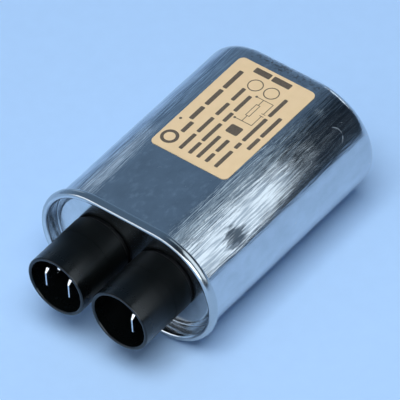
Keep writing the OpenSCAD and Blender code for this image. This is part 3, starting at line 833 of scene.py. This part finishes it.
def printed_label():
    """Closed label sheet whose top is cut along every printed edge."""
    inked, holes = print_shapes()
    sheet = bar(0, LABEL_LENGTH, LABEL_WIDTH / 2, LABEL_WIDTH, LABEL_CORNER, 10)
    outlines = [sheet] + inked + holes
    points, faces = [], []
    for outline in outlines:
        faces.append(list(range(len(points), len(points) + len(outline))))
        points += [Vector(p) for p in outline]
    edges = []
    bends = [k * BEND_STEP for k in range(1, BEND_CUTS + 1)]
    for across in bends + [LABEL_WIDTH - b for b in bends]:
        edges.append((len(points), len(points) + 1))
        points += [Vector((BEND_MARGIN, across)), Vector((LABEL_LENGTH - BEND_MARGIN, across))]
    # Mode 1 keeps only what lies inside an outline
    points, _, cut, _, _, owners = delaunay_2d_cdt(points, edges, faces, 1, 1e-5)

    ink = set(range(1, 1 + len(inked)))
    gaps = set(range(1 + len(inked), len(outlines)))
    work = bmesh.new()
    corners = []
    for point in points:
        x, y = LABEL_LOW.x + point.y * MM, LABEL_LOW.y + point.x * MM
        corners.append(work.verts.new((x, y, label_height(x))))
    for face, owner in zip(cut, owners):
        if 0 in owner:
            made = work.faces.new([corners[k] for k in reversed(face)])
            made.smooth = True
            made.material_index = int(bool(ink & set(owner)) and not gaps & set(owner))
    loose = [v for v in work.verts if not v.link_faces]
    bmesh.ops.delete(work, geom=loose, context="VERTS")
    mesh = bpy.data.meshes.new("printed_label")
    work.to_mesh(mesh)
    work.free()
    for name in ("label_film", "label_ink"):
        mesh.materials.append(FINISHES[name])
    return thickened(mesh, LABEL_THICK)


own_mesh("printed_label", printed_label(), "label_film", "label")


# ---- Camera, at the viewing angle ----

AZIMUTH, ELEVATION, ROLL = math.radians(40.83), math.radians(45.12), math.radians(-3.66)
CAMERA_AWAY = 1.434
CAMERA_SENSOR = 36.0
VIEW_WIDTH = 98.6193 * MM  # what the camera sees from side to side at the aim point
AIM_RIGHT, AIM_UP = 1.765 * MM, 1.388 * MM  # aim point past the can's middle, as the camera sees it


def place_camera():
    """Camera at the viewing angle, with no shift and no depth of field."""
    ahead = math.cos(ELEVATION)
    back = Vector((math.sin(AZIMUTH) * ahead, -math.cos(AZIMUTH) * ahead, math.sin(ELEVATION)))
    level = Vector((math.cos(AZIMUTH), math.sin(AZIMUTH), 0))
    rise = back.cross(level)
    right = math.cos(ROLL) * level + math.sin(ROLL) * rise
    up = -math.sin(ROLL) * level + math.cos(ROLL) * rise
    aim = Vector((0, 0, AXIS_Z)) + AIM_RIGHT * right + AIM_UP * up
    turn = Matrix((right, up, back)).transposed().to_4x4()
    data = bpy.data.cameras.new("camera")
    data.sensor_width = CAMERA_SENSOR
    data.lens = CAMERA_SENSOR * CAMERA_AWAY / VIEW_WIDTH
    data.clip_start, data.clip_end = 0.1, 20
    camera = bpy.data.objects.new("camera", data)
    camera.matrix_world = Matrix.Translation(aim + back * CAMERA_AWAY) @ turn
    bpy.context.scene.collection.objects.link(camera)
    bpy.context.scene.camera = camera


# ---- Light: two soft lamps for the colours, small ones and a dim surround for the metal to mirror ----

COOL, NEUTRAL, BLUE = (0.78, 0.9, 1.0), (0.96, 0.98, 1.0), (0.68, 0.86, 1.0)
MIDDLE = (0, 0, AXIS_Z)
# Lamps that light the part: name, spot they face, direction from it, distance, width, ends and level
LIGHTING = [
    ("key", MIDDLE, (0.2, -0.25, 0.95), 1.3, 0.9, (-0.45, 0.45), 4.9),
    ("fill", MIDDLE, (-0.317, -0.544, 0.777), 1.4, 1.2, (-0.55, 0.6), 0.5),
]
# Lamps that only shiny surfaces mirror, with a colour at the end: each faces the spot that mirrors it
MIRRORED = [
    # A thin line along the rim's crest, and the tips of the tabs
    ("front", (-0.2, -0.026, 0.03), (0, -0.99, 0.14), 0.5, 1.0, (-0.01, 0.24), 1.3, NEUTRAL),
    # The rim's round right side
    ("rim", (0.024, -0.026, 0.026), (0.6, -0.68, 0.38), 0.5, 0.3, (-0.22, 0.26), 3.0, COOL),
    # The bright strip along the can's right side, which ends short of the closed end
    ("strip", (0.0318, 0.013, 0.0172), (0.628, 0.534, 0.566), 0.15, 0.172, (-0.12, 0.004), 1.25, COOL),
    # A faint strip along the can's left side
    ("side", (-0.0149, 0.002, 0.0333), (-0.803, 0.534, 0.262), 0.22, 0.08, (-0.036, 0), 0.35, COOL),
    # A soft sheen beside the label
    ("shoulder", (0.0144, 0.018, 0.0334), (0.09, 0.534, 0.84), 0.22, 0.09, (-0.055, 0.002), 0.54, BLUE),
    # The edge round the closed end
    ("rear", (0.005, 0.041, 0.031), (-0.04, 0.97, 0.2), 0.5, 0.26, (-0.05, 0.05), 1.0, COOL),
]


def softbox(name, spot, direction, away, width, ends, level):
    """Rectangular lamp of even radiance that faces a spot. Its length lies along the part, between two
    ends that are measured from the spot."""
    towards = Vector(direction).normalized()
    along = (Vector((0, 1, 0)) - towards * towards.y).normalized()
    data = bpy.data.lights.new(name, "AREA")
    data.shape = "RECTANGLE"
    data.size, data.size_y = width, ends[1] - ends[0]
    # A power of four times its area gives a lamp a radiance of 1
    data.energy = 4 * width * data.size_y * level
    lamp = bpy.data.objects.new(name, data)
    middle = Vector(spot) + towards * away + along * (ends[0] + ends[1]) / 2
    axes = Matrix((along.cross(towards), along, towards)).transposed()
    lamp.matrix_world = Matrix.Translation(middle) @ axes.to_4x4()
    bpy.context.scene.collection.objects.link(lamp)
    return lamp


def hang_lamps():
    """Soft lamps over the part, which shiny surfaces don't mirror, and the ones that they do."""
    for lamp in LIGHTING:
        softbox(*lamp).visible_glossy = False
    for *lamp, colour in MIRRORED:
        made = softbox(*lamp)
        made.visible_camera = False
        made.visible_diffuse = False
        made.data.color = colour


SURROUND_LEVELS = (0.3, 0.045)  # radiance on the left and on the right
SURROUND_SIDES = (-0.32, 0.25)  # how far to the left and to the right it keeps to those
FLOOR_GAIN = (1.9, 1.0)  # how much brighter it is near the floor, and higher up
FLOOR_GAIN_HEIGHTS = (0.1, 0.55)


def light_world():
    """Dim even surround that falls off to one side and is brighter near the floor, for the metal to
    mirror."""
    world = bpy.data.worlds.new("studio")
    world.use_nodes = True
    tree = world.node_tree
    tree.nodes.clear()
    look = add(tree, "ShaderNodeTexCoord").node.outputs["Generated"]
    side = add(tree, "ShaderNodeSeparateXYZ", None, {"Vector": look})
    level = add(tree, "ShaderNodeMapRange", None, span(side, *SURROUND_LEVELS, *SURROUND_SIDES))
    up = side.node.outputs["Z"]
    near_floor = add(tree, "ShaderNodeMapRange", None, span(up, *FLOOR_GAIN, *FLOOR_GAIN_HEIGHTS))
    lit = {"Color": linear("#AAD3FF"), "Strength": overlap(tree, level, near_floor)}
    shader = add(tree, "ShaderNodeBackground", None, lit)
    add(tree, "ShaderNodeOutputWorld", None, {"Surface": shader})
    bpy.context.scene.world = world


# ---- Floor ----

FLOOR_REACH = 4.0


def lay_floor():
    """Flat sheet of pale backdrop paper under the part: matt, and the same colour all over."""
    near, far = -FLOOR_REACH, FLOOR_REACH
    corners = [(near, near, 0), (far, near, 0), (far, far, 0), (near, far, 0)]
    data = bpy.data.meshes.new("floor")
    data.from_pydata(corners, [], [(0, 1, 2, 3)])
    data.materials.append(finish("matt_backdrop_paper", "#AED2FA", "#B0D4FC", (0.9, 0.95), 4.0))
    floor = bpy.data.objects.new("floor", data)
    bpy.context.scene.collection.objects.link(floor)


place_camera()
light_world()
lay_floor()
hang_lamps()
bpy.context.scene.view_settings.view_transform = "Standard"
